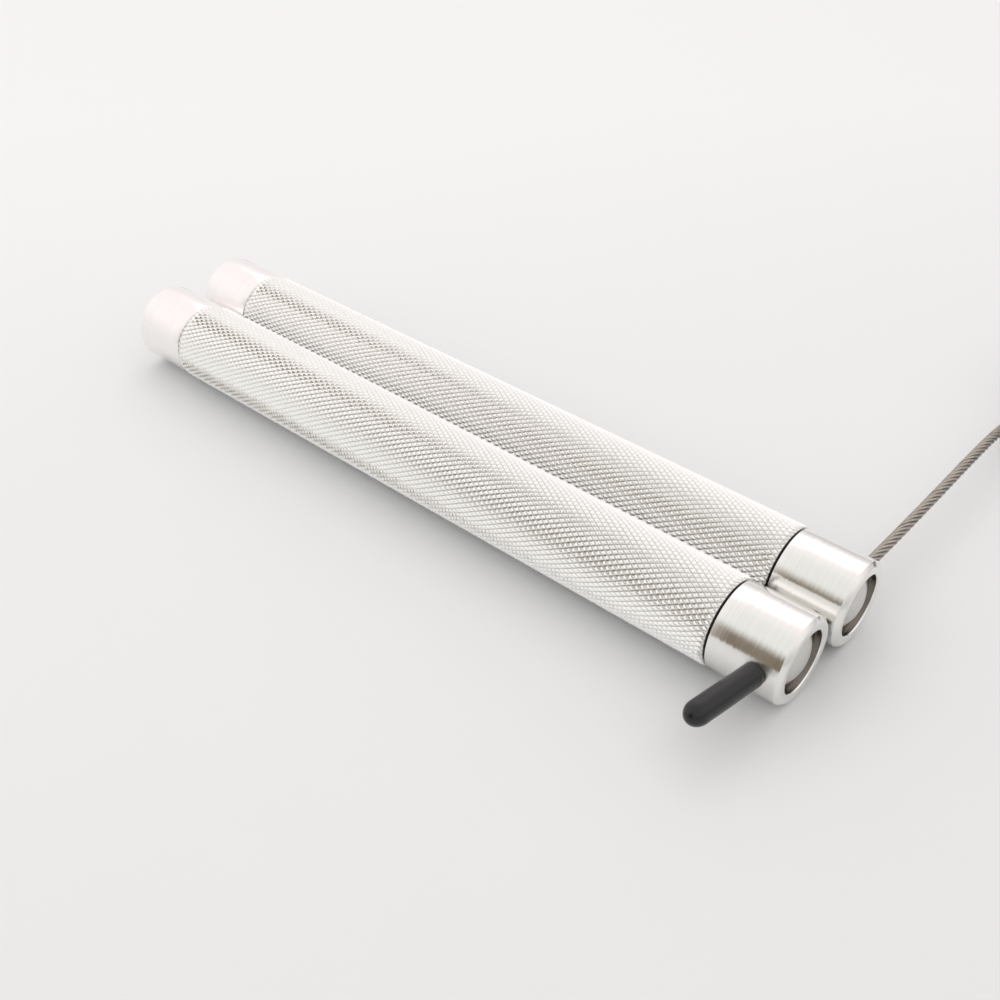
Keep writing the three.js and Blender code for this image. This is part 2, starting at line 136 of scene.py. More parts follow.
def face_outwards(piece):
    """Turns every face of a closed mesh to look out."""
    work = bmesh.new()
    work.from_mesh(piece.data)
    bmesh.ops.recalc_face_normals(work, faces=work.faces)
    work.to_mesh(piece.data)
    work.free()

# %% [markdown]
# ## Turning a profile
#
# A lathe makes almost all of this object, so the main tool here is a lathe too. A profile is a list of
# `(x, radius, edge)` corners in millimetres. `soften` cuts each corner back by its edge size and puts a
# short curve there, and `turned` spins the result about X. A profile that starts and ends on the axis makes
# a solid; any other profile closes on itself and makes a ring.

# %% Lathe
EDGE_STEPS = 3

def soften(profile):
    """Corners of a profile, in metres, with each one rounded by its own edge size."""
    line = []
    count = len(profile)
    closed = profile[0][1] > 0 or profile[-1][1] > 0
    for i, (x, radius, edge) in enumerate(profile):
        here = Vector((x, radius)) * MM
        if edge == 0 or (not closed and i in (0, count - 1)):
            line.append(here)
            continue
        before = Vector(profile[i - 1][:2]) * MM - here
        after = Vector(profile[(i + 1) % count][:2]) * MM - here
        cut = min(edge * MM, 0.45 * before.length, 0.45 * after.length)
        start = here + before.normalized() * cut
        end = here + after.normalized() * cut
        for step in range(EDGE_STEPS + 1):
            t = step / EDGE_STEPS
            line.append(start * (1 - t) ** 2 + here * 2 * t * (1 - t) + end * t**2)
    return line, closed

def turned(profile, sides=160):
    line, closed = soften(profile)
    corners, faces, rings = [], [], []
    for x, radius in line:
        if radius < 1e-7:
            rings.append([len(corners)] * sides)
            corners.append((x, 0, 0))
            continue
        rings.append(list(range(len(corners), len(corners) + sides)))
        for j in range(sides):
            angle = 2 * math.pi * j / sides
            corners.append((x, radius * math.cos(angle), radius * math.sin(angle)))
    pairs = list(zip(rings, rings[1:]))
    if closed:
        pairs.append((rings[-1], rings[0]))
    for a, b in pairs:
        for j in range(sides):
            k = (j + 1) % sides
            face = list(dict.fromkeys((a[j], a[k], b[k], b[j])))
            if len(face) > 2:
                faces.append(face)
    return corners, faces

def turned_piece(name, profile, material, place, sides=160, crease=32):
    corners, faces = turned(profile, sides)
    piece = make_piece(name, corners, faces, material, place, crease)
    face_outwards(piece)
    smooth(piece.data, crease)
    return piece

# %% [markdown]
# ## Drilling
#
# A cross hole can't be turned, so it is cut with a boolean, as a drill would cut it. The cutter is removed
# afterwards and the result is kept as a plain mesh, with its sharp edges marked again.

# %% Drill
def drill(piece, corners, faces, place, crease=32):
    """Cuts the closed shape out of the piece."""
    cutter = make_piece("cutter", corners, faces, piece.data.materials[0], place)
    face_outwards(cutter)
    cut = piece.modifiers.new("drill", "BOOLEAN")
    cut.operation = "DIFFERENCE"
    cut.solver = "EXACT"
    cut.object = cutter
    graph = bpy.context.evaluated_depsgraph_get()
    result = bpy.data.meshes.new_from_object(piece.evaluated_get(graph))
    piece.modifiers.clear()
    old = piece.data
    piece.data = result
    result.name = piece.name
    bpy.data.meshes.remove(old)
    bpy.data.objects.remove(cutter)
    smooth(result, crease)

# %% [markdown]
# ## Node helpers
#
# A finish is a Principled shader with a few textures feeding it. Anything that is the same all over the
# surface sits on the shader's own socket, and only what varies is linked. The helpers keep each finish
# below short. `Nodes` adds nodes to any tree, so the room uses it too, and `Finish` is one for a material.

# %% Node helpers
class Nodes:
    """Adds nodes to a tree. Any value can be a number or another node's output."""

    def __init__(self, tree):
        self.tree = tree

    def put(self, socket, value):
        if isinstance(value, bpy.types.NodeSocket):
            self.tree.links.new(value, socket)
        else:
            socket.default_value = value

    def node(self, kind, settings=None, **sockets):
        made = self.tree.nodes.new("ShaderNode" + kind)
        for key, value in (settings or {}).items():
            setattr(made, key, value)
        for socket, value in sockets.items():
            self.put(made.inputs[socket.replace("_", " ")], value)
        return made

    def maths(self, operation, a, b=0.0):
        made = self.node("Math", {"operation": operation})
        self.put(made.inputs[0], a)
        self.put(made.inputs[1], b)
        return made.outputs[0]

    def product(self, first, *others):
        for other in others:
            first = self.maths("MULTIPLY", first, other)
        return first

    def ramp(self, value, start, end, low=0.0, high=1.0, kind="LINEAR"):
        """Maps start..end onto low..high, and stays there past either end."""
        ends = {"From_Min": start, "From_Max": end, "To_Min": low, "To_Max": high}
        return self.node("MapRange", {"interpolation_type": kind}, Value=value, **ends).outputs[0]

    def spread(self, value, low, high):
        return self.ramp(value, 0.0, 1.0, low, high)

    def tint(self, share, dark, light):
        """From the dark colour at share 0 to the light one at share 1."""
        made = self.node("Mix", {"data_type": "RGBA"}, Factor=share)
        for socket, value in (("A", dark), ("B", light)):
            linked = isinstance(value, bpy.types.NodeSocket)
            self.put(made.inputs[socket], value if linked else (*value, 1))
        return made.outputs["Result"]

class Finish(Nodes):
    """A material under construction. Its constant sockets are set first."""

    def __init__(self, name, **sockets):
        self.material = bpy.data.materials.new(name)
        self.material.use_nodes = True
        super().__init__(self.material.node_tree)
        self.shader = self.tree.nodes["Principled BSDF"]
        for socket, value in sockets.items():
            self.shader.inputs[socket.replace("_", " ")].default_value = value

    def local(self):
        return self.node("TexCoord").outputs["Object"]

    def along_and_out(self):
        """The place along a turned piece's axis, its y and z, and its distance from the axis."""
        x, y, z = self.node("SeparateXYZ", Vector=self.local()).outputs
        squares = self.maths("ADD", self.maths("POWER", y, 2.0), self.maths("POWER", z, 2.0))
        return x, y, z, self.maths("SQRT", squares)

    def noise(self, place, scale, detail=2.0, roughness=0.5):
        made = self.node("TexNoise", Vector=place, Scale=scale, Detail=detail, Roughness=roughness)
        return made.outputs["Fac"]

    def colour(self, value):
        self.put(self.shader.inputs["Base Color"], value)

    def rough(self, value):
        self.put(self.shader.inputs["Roughness"], value)

    def bump(self, height, distance):
        made = self.node("Bump", Height=height, Distance=distance, Strength=1.0)
        self.put(self.shader.inputs["Normal"], made.outputs[0])
        return made.outputs[0]

def lathe_marks(finish, pitch, wander):
    """Rings round the axis of a turned piece: they follow x on a wall and the radius on a face."""
    x, y, z, radius = finish.along_and_out()
    rings = finish.maths("DIVIDE", finish.maths("ADD", x, radius), pitch)
    across = finish.maths("DIVIDE", y, wander)
    above = finish.maths("DIVIDE", z, wander)
    place = finish.node("CombineXYZ", X=rings, Y=across, Z=above).outputs[0]
    return finish.noise(place, 1.0, detail=3.0, roughness=0.6)

# %% [markdown]
# ## Metal finishes
#
# Turned aluminium reflects the room in long soft bands. The tool's rings spread each reflection along the
# axis, which the shader's anisotropy does cheaply. Each ring also leans a little its own way, and that
# breaks the edges of the bands into fine teeth. The bore is cut coarser, and its colour is darkened as
# painted shade for the deep recess. The polished rear caps have much finer rings. The button is
# bead-blasted, so its texture has no direction. Bearing and spring steel are plain ground steel.

# %% Turned, bored and polished aluminium
RING_TONES = (0.93, 1.04)  # the dullest and the brightest ring, against the metal's own colour

def turned_metal(name, colour, rough, pitch, depth, stretch, lean):
    """Rings a pitch apart. Stretch is along the axis, and lean is how far a ring's direction can be off."""
    made = Finish(name, Metallic=1.0, Anisotropic=stretch, Anisotropic_Rotation=0.25)
    marks = lathe_marks(made, pitch, 30 * MM)
    dull, bright = [tuple(tone * c for c in colour) for tone in RING_TONES]
    made.colour(made.tint(marks, dull, bright))
    smudge = made.noise(made.local(), 260.0, detail=4.0)
    made.rough(made.spread(made.product(marks, smudge), *rough))
    tangent = made.node("Tangent", {"direction_type": "RADIAL", "axis": "X"}).outputs[0]
    made.put(made.shader.inputs["Tangent"], tangent)
    lean_here = made.spread(lathe_marks(made, 1.1 * pitch, 5 * MM), -lean, lean)
    push = made.node("VectorMath", {"operation": "SCALE"}, Vector=tangent, Scale=lean_here).outputs[0]
    leaning = made.node("VectorMath", {"operation": "ADD"}, Vector=made.bump(marks, depth))
    made.put(leaning.inputs[1], push)
    made.put(made.shader.inputs["Normal"], leaning.outputs[0])
    return made.material

head_metal = turned_metal(
    "turned_aluminium", (0.90, 0.89, 0.87), (0.16, 0.30), 0.26 * MM, 0.012 * MM, stretch=0.6, lean=0.055
)
# Painted shade: the bore's colour is kept dark for the deep recess. Its coarser rings are real.
shaded_bore_metal = turned_metal(
    "bored_aluminium_shaded", (0.30, 0.27, 0.245), (0.22, 0.40), 0.32 * MM, 0.030 * MM, stretch=0.4, lean=0.20
)
cap_metal = turned_metal(
    "polished_aluminium", (0.94, 0.925, 0.915), (0.10, 0.18), 0.20 * MM, 0.002 * MM, stretch=0.3, lean=0.012
)
print("turned:", head_metal.name, shaded_bore_metal.name, cap_metal.name)

# %% Blasted aluminium and ground steel
def blasted_metal(name, colour):
    made = Finish(name, Metallic=1.0, Base_Color=(*colour, 1))
    grain = made.noise(made.local(), 9000.0, detail=2.0)
    made.rough(made.spread(made.noise(made.local(), 700.0, detail=4.0), 0.24, 0.40))
    made.bump(grain, 0.008 * MM)
    return made.material

button_metal = blasted_metal("button_aluminium", (0.64, 0.63, 0.61))

def ground_steel(name, colour, rough_low, rough_high):
    made = Finish(name, Metallic=1.0, Base_Color=(*colour, 1))
    grain = made.noise(made.local(), 2500.0, detail=3.0)
    made.rough(made.spread(grain, rough_low, rough_high))
    made.bump(grain, 0.003 * MM)
    return made.material

bearing_steel = ground_steel("bearing_steel", (0.56, 0.57, 0.58), 0.18, 0.34)
spring_steel = ground_steel("spring_steel", (0.38, 0.38, 0.39), 0.25, 0.45)
print("plain:", button_metal.name, bearing_steel.name, spring_steel.name)

# %% [markdown]
# ## The knurled metal's finish
#
# The diamonds themselves are modelled, so this finish only adds what is smaller: the burnish that leaves the
# crests smoother, painted shade that darkens the grooves, and the fine grain that a pressed knurl has. The
# radius from the axis tells crest from groove. The painted groove shade is deepest near the head and fades
# towards the rear.

# %% Knurled aluminium
KNURL_RADII = (7.85 * MM, 8.2 * MM)  # in a groove and on a crest
UNSHADED_HEIGHT = 0.36  # share of the way up to a crest above which no painted shade is left
SHADE_FROM = -28 * MM
UNSHADED_FROM = -115 * MM
REAR_UNSHADED_SHARE = 0.75

def knurled_metal(name):
    made = Finish(name, Metallic=1.0)
    x, _, _, radius = made.along_and_out()
    height = made.ramp(radius, *KNURL_RADII)
    grain = made.noise(made.local(), 3800.0, detail=3.0)
    # Painted shade: the grooves are darkened, deepest near the head and less towards the rear.
    rear = made.ramp(x, SHADE_FROM, UNSHADED_FROM)
    high = made.ramp(height, 0.0, UNSHADED_HEIGHT)
    unshaded = made.maths("MAXIMUM", high, made.product(rear, REAR_UNSHADED_SHARE))
    made.colour(made.tint(unshaded, (0.64, 0.62, 0.60), (1.0, 0.995, 0.985)))
    made.rough(made.maths("ADD", made.spread(height, 0.30, 0.22), made.spread(grain, -0.05, 0.07)))
    made.bump(grain, 0.006 * MM)
    return made.material

grip_metal = knurled_metal("knurled_aluminium")
print("knurl finish:", grip_metal.name)

# %% [markdown]
# ## Cable, vinyl, rubber and strap
#
# The cable is bright drawn steel that has dulled to a warm grey. Its strands are modelled, and the single
# wires in a strand are too fine to model, so they are a bump that runs slantwise over each strand. It reads
# the mesh's own map: u runs once per lay of the rope, and v once round it. The end caps are dipped vinyl,
# soft and glossy. The strap that ties the coil is a woven tape.

# %% Cable finish
WIRES_PER_LAY = 46.0
WIRES_ROUND = 24.0

def cable_steel(name):
    made = Finish(name, Metallic=1.0)
    u, v, _ = made.node("SeparateXYZ", Vector=made.node("UVMap", {"uv_map": "lay"}).outputs[0]).outputs
    slant = made.maths("ADD", made.product(u, WIRES_PER_LAY), made.product(v, WIRES_ROUND))
    wires = made.maths("SINE", made.product(slant, 2 * math.pi))
    dirt = made.noise(made.local(), 900.0, detail=4.0)
    made.colour(made.tint(dirt, (0.30, 0.275, 0.245), (0.58, 0.545, 0.50)))
    made.rough(made.spread(dirt, 0.26, 0.42))
    made.bump(wires, 0.012 * MM)
    return made.material

# %% Vinyl, rubber and tape finishes
def soft_plastic(name, colour, rough_low, rough_high, shine, scale, depth):
    made = Finish(name, Specular_IOR_Level=shine)
    haze = made.noise(made.local(), 500.0, detail=5.0)
    made.colour(made.tint(haze, colour, [1.5 * c for c in colour]))
    made.rough(made.spread(haze, rough_low, rough_high))
    made.bump(made.noise(made.local(), scale, detail=3.0), depth)
    return made.material

def woven_tape(name):
    made = Finish(name, Sheen_Weight=0.35, Sheen_Roughness=0.5, Roughness=0.85)
    u, v, _ = made.node("SeparateXYZ", Vector=made.node("UVMap", {"uv_map": "weave"}).outputs[0]).outputs
    warp = made.maths("ABSOLUTE", made.maths("SINE", made.product(u, math.pi)))
    weft = made.maths("ABSOLUTE", made.maths("SINE", made.product(v, math.pi)))
    weave = made.product(warp, weft)
    made.colour(made.tint(weave, (0.012, 0.012, 0.013), (0.05, 0.05, 0.052)))
    made.bump(weave, 0.08 * MM)
    return made.material

cable_finish = cable_steel("steel_cable")
vinyl = soft_plastic("black_vinyl", (0.0045, 0.0045, 0.005), 0.20, 0.30, 0.48, 1500.0, 0.006 * MM)
rubber = soft_plastic("black_rubber", (0.004, 0.004, 0.004), 0.7, 0.85, 0.15, 3000.0, 0.01 * MM)
tape = woven_tape("woven_strap")
print("soft:", vinyl.name, rubber.name, tape.name)

# %% [markdown]
# ## The line of the cable
#
# The cable runs straight through both heads, which is why their cross holes share one line. Its near end
# turns a little back and up inside a vinyl cap. Past the far head it runs out level, then sinks to the
# surface, and the rest of its length is wound up beyond. The stretches that aren't wound are given as a
# few points, and a centripetal spline joins them, because that spline never loops or overshoots.

# %% Points of the straight and free stretches
CABLE_RADIUS = 1.0 * MM
CROSS_HOLE_X = -4.2 * MM  # behind the front face of the head
MIDDLE_X = (PLACES["near"].x + PLACES["far"].x) / 2 + CROSS_HOLE_X
AXIS_Z = PLACES["near"].z
MOUTH_REACH = 8.3 * MM  # from the head's axis to the mouth of the vinyl cap
MOUTH_SHIFT = Vector((-0.1, 0, 0.75)) * MM  # the soft cap sits a little back and up

def on_cable_line(y):
    return Vector((MIDDLE_X + y * math.tan(CABLE_LEAN), y, AXIS_Z))

cap_yaw = math.radians(8.9)
cap_pitch = math.radians(3.5)
TAIL_AXIS = Vector((
    -math.sin(cap_yaw) * math.cos(cap_pitch),
    -math.cos(cap_yaw) * math.cos(cap_pitch),
    math.sin(cap_pitch),
))
TAIL_MOUTH = on_cable_line(PLACES["near"].y - MOUTH_REACH) + MOUTH_SHIFT

threaded_route = [TAIL_MOUTH + TAIL_AXIS * depth for depth in (0.0105, 0.0075, 0.0045)]
threaded_route += [on_cable_line(y) for y in (-0.01515, -0.01165, 0.0, 0.00865, 0.01485)]
free_route = [
    on_cable_line(0.01515),
    on_cable_line(0.01865),
    Vector((0.0768, 0.031, 0.008)),
    Vector((0.07705, 0.044, 0.008)),
    Vector((0.0772, 0.057, 0.0079)),
    Vector((0.0773, 0.067, 0.0075)),
    Vector((0.0773, 0.075, 0.0063)),
    Vector((0.0773, 0.082, 0.0046)),
    Vector((0.0773, 0.089, 0.0029)),
    Vector((0.0773, 0.0957, 0.0021)),
]
print("route points:", len(threaded_route) + len(free_route))

# %% [markdown]
# ## Winding the coil
#
# The wound length is put away as a neat ring: six turns side by side and five layers. Each turn goes round
# at one radius and steps to the next over its last sixth, and all the turns of a layer step at the same
# place, so they stay a diameter apart. At the end of a layer the cable climbs onto the next one just before
# that place. The last turn climbs on top, where a second vinyl cap closes the end.

# %% Coil
COIL_MIDDLE = Vector((0.0983, 0.106))
TURN_PITCH = 2 * CABLE_RADIUS
COLUMNS = 6
LAYERS = 5
COIL_MEAN = 0.016
FIRST_Z = 0.002
STEPS_PER_TURN = 72
CLIMB_FROM = 240  # degrees of a turn
STEP_FROM = 300
TOP_TURNS = 4
END_REACH = (0.0012, 0.004, 0.0105)  # how deep the last points lie in the end cap
print("layers in the coil:", LAYERS)

def coil_point(travel, radius, z):
    """The point that is travel degrees clockwise from the coil's left side."""
    angle = math.radians(180 - travel)
    return Vector((COIL_MIDDLE.x + radius * math.cos(angle), COIL_MIDDLE.y + radius * math.sin(angle), z))

def ease(value, low, high):
    t = min(max((value - low) / (high - low), 0.0), 1.0)
    return t * t * (3 - 2 * t)

def wound_turns():
    points = []
    outer = COIL_MEAN + (COLUMNS - 1) / 2 * TURN_PITCH
    inner = COIL_MEAN - (COLUMNS - 1) / 2 * TURN_PITCH
    for layer in range(LAYERS):
        inwards = -1 if layer % 2 == 0 else 1
        start = outer if inwards < 0 else inner
        turns = COLUMNS if layer < LAYERS - 1 else TOP_TURNS
        for turn in range(turns):
            last = turn == turns - 1
            for step in range(STEPS_PER_TURN):
                travel = 360 * step / STEPS_PER_TURN
                radius = start + inwards * TURN_PITCH * turn
                z = FIRST_Z + TURN_PITCH * layer
                if last:
                    z += TURN_PITCH * ease(travel, CLIMB_FROM, STEP_FROM)
                else:
                    radius += inwards * TURN_PITCH * ease(travel, STEP_FROM, 360)
                points.append(coil_point(travel, radius, z))
    return points

def coil_end():
    """Over the top layer and into the end cap."""
    low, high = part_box("coil_end_cap")
    cap_z = (low.z + high.z) / 2
    cap_y = (low.y + high.y) / 2
    radius = COIL_MEAN - 0.5 * TURN_PITCH
    top = FIRST_Z + TURN_PITCH * LAYERS
    points = []
    for travel in range(0, 41, 5):
        share = ease(travel, 0, 60)
        points.append(coil_point(travel, radius + share * 0.0005, top + share * (cap_z - top)))
    for depth, aside in zip(END_REACH, (0.0001, 0.0, 0.0)):
        points.append(Vector((low.x + depth, cap_y - aside, cap_z)))
    return points

# %% [markdown]
# ## Evenly spaced points on a route
#
# A tube looks even only if its rings are evenly spaced. So each route is first drawn finely as a
# centripetal spline, and then sampled again at equal steps along its length.

# %% Spline and resampling
def spline(points, steps=12):
    """A centripetal spline through the points, drawn finely."""
    ends = [points[0] * 2 - points[1]] + list(points) + [points[-1] * 2 - points[-2]]
    line = []
    for p0, p1, p2, p3 in zip(ends, ends[1:], ends[2:], ends[3:]):
        t0 = 0.0
        t1 = t0 + math.sqrt((p1 - p0).length)
        t2 = t1 + math.sqrt((p2 - p1).length)
        t3 = t2 + math.sqrt((p3 - p2).length)
        for step in range(steps):
            t = t1 + (t2 - t1) * step / steps
            a1 = p0 * ((t1 - t) / (t1 - t0)) + p1 * ((t - t0) / (t1 - t0))
            a2 = p1 * ((t2 - t) / (t2 - t1)) + p2 * ((t - t1) / (t2 - t1))
            a3 = p2 * ((t3 - t) / (t3 - t2)) + p3 * ((t - t2) / (t3 - t2))
            b1 = a1 * ((t2 - t) / (t2 - t0)) + a2 * ((t - t0) / (t2 - t0))
            b2 = a2 * ((t3 - t) / (t3 - t1)) + a3 * ((t - t1) / (t3 - t1))
            line.append(b1 * ((t2 - t) / (t2 - t1)) + b2 * ((t - t1) / (t2 - t1)))
    line.append(points[-1].copy())
    return line

def spaced(line, spacing):
    """Points a spacing apart along a finely drawn line, and the line's length."""
    line = np.array(line)
    travel = np.concatenate([[0.0], np.cumsum(np.linalg.norm(np.diff(line, axis=0), axis=1))])
    marks = np.linspace(0.0, travel[-1], max(2, round(travel[-1] / spacing) + 1))
    return np.stack([np.interp(marks, travel, line[:, k]) for k in range(3)], axis=1), float(travel[-1])

# %% [markdown]
# ## Laying up the strands
#
# A wire rope's section is a ring of round strands, and the whole section turns once per lay as it travels.
# The section below is the outline of eight touching strands, sampled four times a strand. Each ring of the
# tube is that outline, carried along the route without extra twist and then turned by the lay.

# %% Wire rope
STRANDS = 8
SAMPLES_PER_STRAND = 4
ROPE_LAY = 12.5 * MM
VALLEY = 0.70  # the valleys between strands go no deeper than this share of the radius

def strand_outline():
    """Distance from the rope's centre to its surface, for angles round one strand."""
    share = math.sin(math.pi / STRANDS)
    strand = CABLE_RADIUS * share / (1 + share)
    reach = CABLE_RADIUS - strand
    outline = []
    for k in range(SAMPLES_PER_STRAND):
        angle = (k / SAMPLES_PER_STRAND - 0.5) * 2 * math.pi / STRANDS
        inside = max(strand**2 - (reach * math.sin(angle)) ** 2, 0.0)
        outline.append(max(reach * math.cos(angle) + math.sqrt(inside), VALLEY * CABLE_RADIUS))
    return np.tile(outline, STRANDS)

def carried_frames(path):
    """Two directions across the path at each point, carried along it without twisting."""
    ahead = np.gradient(path, axis=0)
    ahead /= np.linalg.norm(ahead, axis=1)[:, None]
    side = np.cross(ahead[0], [0.0, 0.0, 1.0])
    side /= np.linalg.norm(side)
    sides = [side]
    for k in range(1, len(path)):
        side = side - ahead[k] * (side @ ahead[k])
        side /= np.linalg.norm(side)
        sides.append(side)
    sides = np.array(sides)
    return sides, np.cross(ahead, sides)

def wire_rope(name, path, length, start_turn):
    radii = strand_outline()
    count = len(radii)
    across, above = carried_frames(path)
    travel = np.linspace(0.0, length, len(path))
    corners = []
    for k, centre in enumerate(path):
        angles = 2 * math.pi * (np.arange(count) / count + start_turn + travel[k] / ROPE_LAY)
        ring = across[k] * (radii * np.cos(angles))[:, None] + above[k] * (radii * np.sin(angles))[:, None]
        corners.append(centre + ring)
    corners = np.concatenate(corners)
    faces = []
    for k in range(len(path) - 1):
        low = k * count
        for j in range(count):
            n = (j + 1) % count
            faces.append((low + j, low + n, low + count + n, low + count + j))
    faces.append(tuple(range(count - 1, -1, -1)))
    faces.append(tuple(range(len(corners) - count, len(corners))))
    rope = make_piece(name, corners, faces, cable_finish, crease=50)
    lay_map = rope.data.uv_layers.new(name="lay")
    around = np.arange(len(corners)) % count / count
    along = np.repeat(travel / ROPE_LAY, count)
    loops = np.zeros(len(rope.data.loops), np.int32)
    rope.data.loops.foreach_get("vertex_index", loops)
    lay_map.data.foreach_set("uv", np.stack([along[loops], around[loops]], axis=1).ravel())
    return rope

# %% Cable through the heads
threaded_path, threaded_length = spaced(spline(threaded_route), 0.5 * MM)
threaded_cable = wire_rope("threaded_cable", threaded_path, threaded_length, 0.0)
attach(threaded_cable, "heads_and_cable")
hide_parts("cable_through_heads")
print("threaded length, mm:", round(threaded_length / MM, 1))

# %% Free cable and coil
wound = wound_turns()
free_line = spline(free_route + wound[:1])[:-1] + spline(wound + coil_end(), steps=3)
free_path, free_length = spaced(free_line, 0.75 * MM)
free_cable = wire_rope("free_cable", free_path, free_length, threaded_length / ROPE_LAY)
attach(free_cable, "heads_and_cable")
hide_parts("cable_run", "cable_coil")
whole_length = free_length + threaded_length
print("free and whole length, mm:", round(free_length / MM, 1), round(whole_length / MM, 1))

# %% [markdown]
# ## The heads
#
# The head is one turning: a front face with a cut edge, a bore for the button, a thin bright lip inside the
# rim, and a boss at the back that the bearings are clamped on. Then the cross hole is drilled through it
# along the cable's line. The hole is broken at both mouths by a small cone, as any drilled hole is.

# %% Head shells
HEAD_PROFILE = [
    (0.0, 5.86, 0.05),
    (0.0, 7.30, 0.05),
    (-0.72, 8.0, 0.05),
    (-3.0, 8.0, 0),
    (-6.0, 8.0, 0),
    (-10.0, 8.0, 0),
    (-13.35, 8.0, 0.04),
    (-13.35, 3.5, 0.05),
    (-14.58, 3.5, 0.05),
    (-14.58, 2.6, 0.05),
    (-9.4, 2.6, 0.05),
    (-9.4, 5.7, 0.15),
    (-6.0, 5.7, 0),
    (-3.0, 5.7, 0),
    (-0.22, 5.7, 0.05),
]
HOLE_PROFILE = [
    (-9.0, 0.0, 0),
    (-9.0, 1.95, 0),
    (-7.75, 1.45, 0.05),
    (7.75, 1.45, 0.05),
    (9.0, 1.95, 0),
    (9.0, 0.0, 0),
]
BORE_START = -0.25 * MM  # the finer front face ends here
BORE_REACH = 7.0 * MM

def along_cable(corners, place):
    """Turns a shape made about X so that it lies along the cable's line."""
    turn = Matrix.Rotation(math.pi / 2 - CABLE_LEAN, 3, "Z")
    return [turn @ Vector(c) + Vector((place, 0, 0)) for c in corners]

def head_shell(side):
    shell = turned_piece(f"{side}_head", HEAD_PROFILE, head_metal, PLACES[side], sides=192)
    corners, faces = turned(HOLE_PROFILE, 48)
    drill(shell, along_cable(corners, CROSS_HOLE_X), faces, PLACES[side])
    shell.data.materials.append(shaded_bore_metal)
    # The bore's faces take the darker bored finish, whose colour is painted shade.
    for face in shell.data.polygons:
        if face.center.x < BORE_START and face.center.yz.length < BORE_REACH:
            face.material_index = 1
    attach(shell, "heads_and_cable")
    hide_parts(f"{side}_head_shell")
    return shell

heads = [head_shell(side) for side in PLACES]
print("faces in a head:", len(heads[0].data.polygons))

# %% [markdown]
# ## The lock buttons
#
# The button is a domed plunger. The real edge is turned bright, but here the whole button, edge and dome,
# takes the one blasted finish. A slot runs across it for the cable, a little longer than it is high, so that
# the button can travel while the cable stays where it is. The dome is an arc, so its profile comes from the
# arc's radius and not from a list.

# %% Buttons
BUTTON_RADIUS = 5.4
DOME_HEIGHT = 2.0
SHOULDER_X = -1.9
SHOULDER_EDGE = 0.14
BUTTON_STROKE = 0.8
SLOT_HALF_HEIGHT = 1.3
SLOT_HALF_LENGTH = 7

def dome_profile(steps=14):
    ball = (BUTTON_RADIUS**2 + DOME_HEIGHT**2) / (2 * DOME_HEIGHT)
    centre = SHOULDER_X + DOME_HEIGHT - ball
    reach = math.asin((BUTTON_RADIUS - SHOULDER_EDGE) / ball)
    arc = [(centre + ball, 0.0, 0)]
    for i in range(1, steps + 1):
        angle = reach * i / steps
        arc.append((centre + ball * math.cos(angle), ball * math.sin(angle), 0))
    return arc

BUTTON_PROFILE = dome_profile() + [
    (SHOULDER_X - 0.10, BUTTON_RADIUS, 0.08),
    (-7.2, BUTTON_RADIUS, 0.15),
    (-7.2, 4.8, 0.05),
    (-6.2, 4.8, 0.05),
    (-6.2, 0.0, 0),
]

def slot_shape(steps=12):
    """A bar with round ends in section, whose ends are the stroke apart, lying along X."""
    corners, faces = [], []
    outline = []
    for middle, start in ((BUTTON_STROKE, -math.pi / 2), (0.0, math.pi / 2)):
        for i in range(steps + 1):
            angle = start + math.pi * i / steps
            outline.append((middle + SLOT_HALF_HEIGHT * math.cos(angle), SLOT_HALF_HEIGHT * math.sin(angle)))
    for end in (-SLOT_HALF_LENGTH, SLOT_HALF_LENGTH):
        for across, up in outline:
            corners.append(Vector((end, -across, up)) * MM)
    count = len(outline)
    for i in range(count):
        k = (i + 1) % count
        faces.append((i, k, count + k, count + i))
    faces.append(tuple(range(count)))
    faces.append(tuple(range(count, 2 * count)))
    return corners, faces

def lock_button(side):
    button = turned_piece(f"{side}_button", BUTTON_PROFILE, button_metal, PLACES[side], sides=128, crease=20)
    corners, faces = slot_shape()
    drill(button, along_cable(corners, CROSS_HOLE_X), faces, PLACES[side], crease=20)
    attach(button, f"{side}_button")
    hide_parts(f"{side}_lock_button")

for side in PLACES:
    lock_button(side)
print("corners in a button's profile:", len(BUTTON_PROFILE))

# %% [markdown]
# ## Seals in the gap
#
# A thin black ring fills the gap between the still head and the spinning grip. It sits a hair below the
# metal, so it reads as one crisp dark line.

# %% Seals
SEAL_PROFILE = [(-13.38, 6.1, 0), (-13.38, 7.8, 0.05), (-13.62, 7.8, 0.05), (-13.62, 6.1, 0)]
for side in PLACES:
    seal = turned_piece(f"{side}_seal", SEAL_PROFILE, rubber, PLACES[side], sides=128)
    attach(seal, "heads_and_cable")
    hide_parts(f"{side}_head_seal")
print("gap filled, mm:", round(SEAL_PROFILE[0][0] - SEAL_PROFILE[-1][0], 2))

# %% [markdown]
# ## The knurled grips
#
# A diamond knurl is two families of slanting grooves pressed into the tube. A bump map would lie at the
# outline and in every highlight, so the diamonds are real faces. The tube is unrolled as a grid: the
# crossings of the grooves and the crests of the diamonds take alternate places on it, like the two colours
# of a chessboard. Each crest becomes a small flat, and four slopes run down from it to the grooves.

